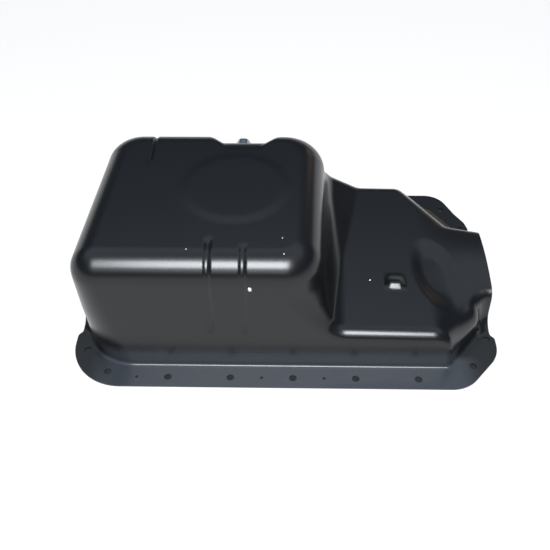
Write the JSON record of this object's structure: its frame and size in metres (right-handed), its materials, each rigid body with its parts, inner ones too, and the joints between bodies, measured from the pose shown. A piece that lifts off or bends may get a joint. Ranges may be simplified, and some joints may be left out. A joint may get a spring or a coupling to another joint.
{
  "type": "engine oil pan",
  "caption": "Pressed steel engine oil pan with a deep sump, a shallow tray, arched end openings, a bolt flange all round and a hexagon drain plug on one side.",
  "frame": {"origin": "middle of the gasket face, under the pan as it rests on its flange", "axes": "+X along the engine from the deep sump to the shallow part, +Y towards the drain plug side, +Z from the gasket face to the bottom of the sump"},
  "size_m": [0.405, 0.278, 0.1275],
  "materials": {
    "black_paint": "gloss",
    "zinc_steel": "satin",
    "soft_aluminium": "satin"
  },
  "bodies": {
    "root": {"pan_shell": "black_paint", "drain_nut": "black_paint", "sealing_washer": "soft_aluminium", "drain_plug": "zinc_steel"}
  },
  "joints": []
}
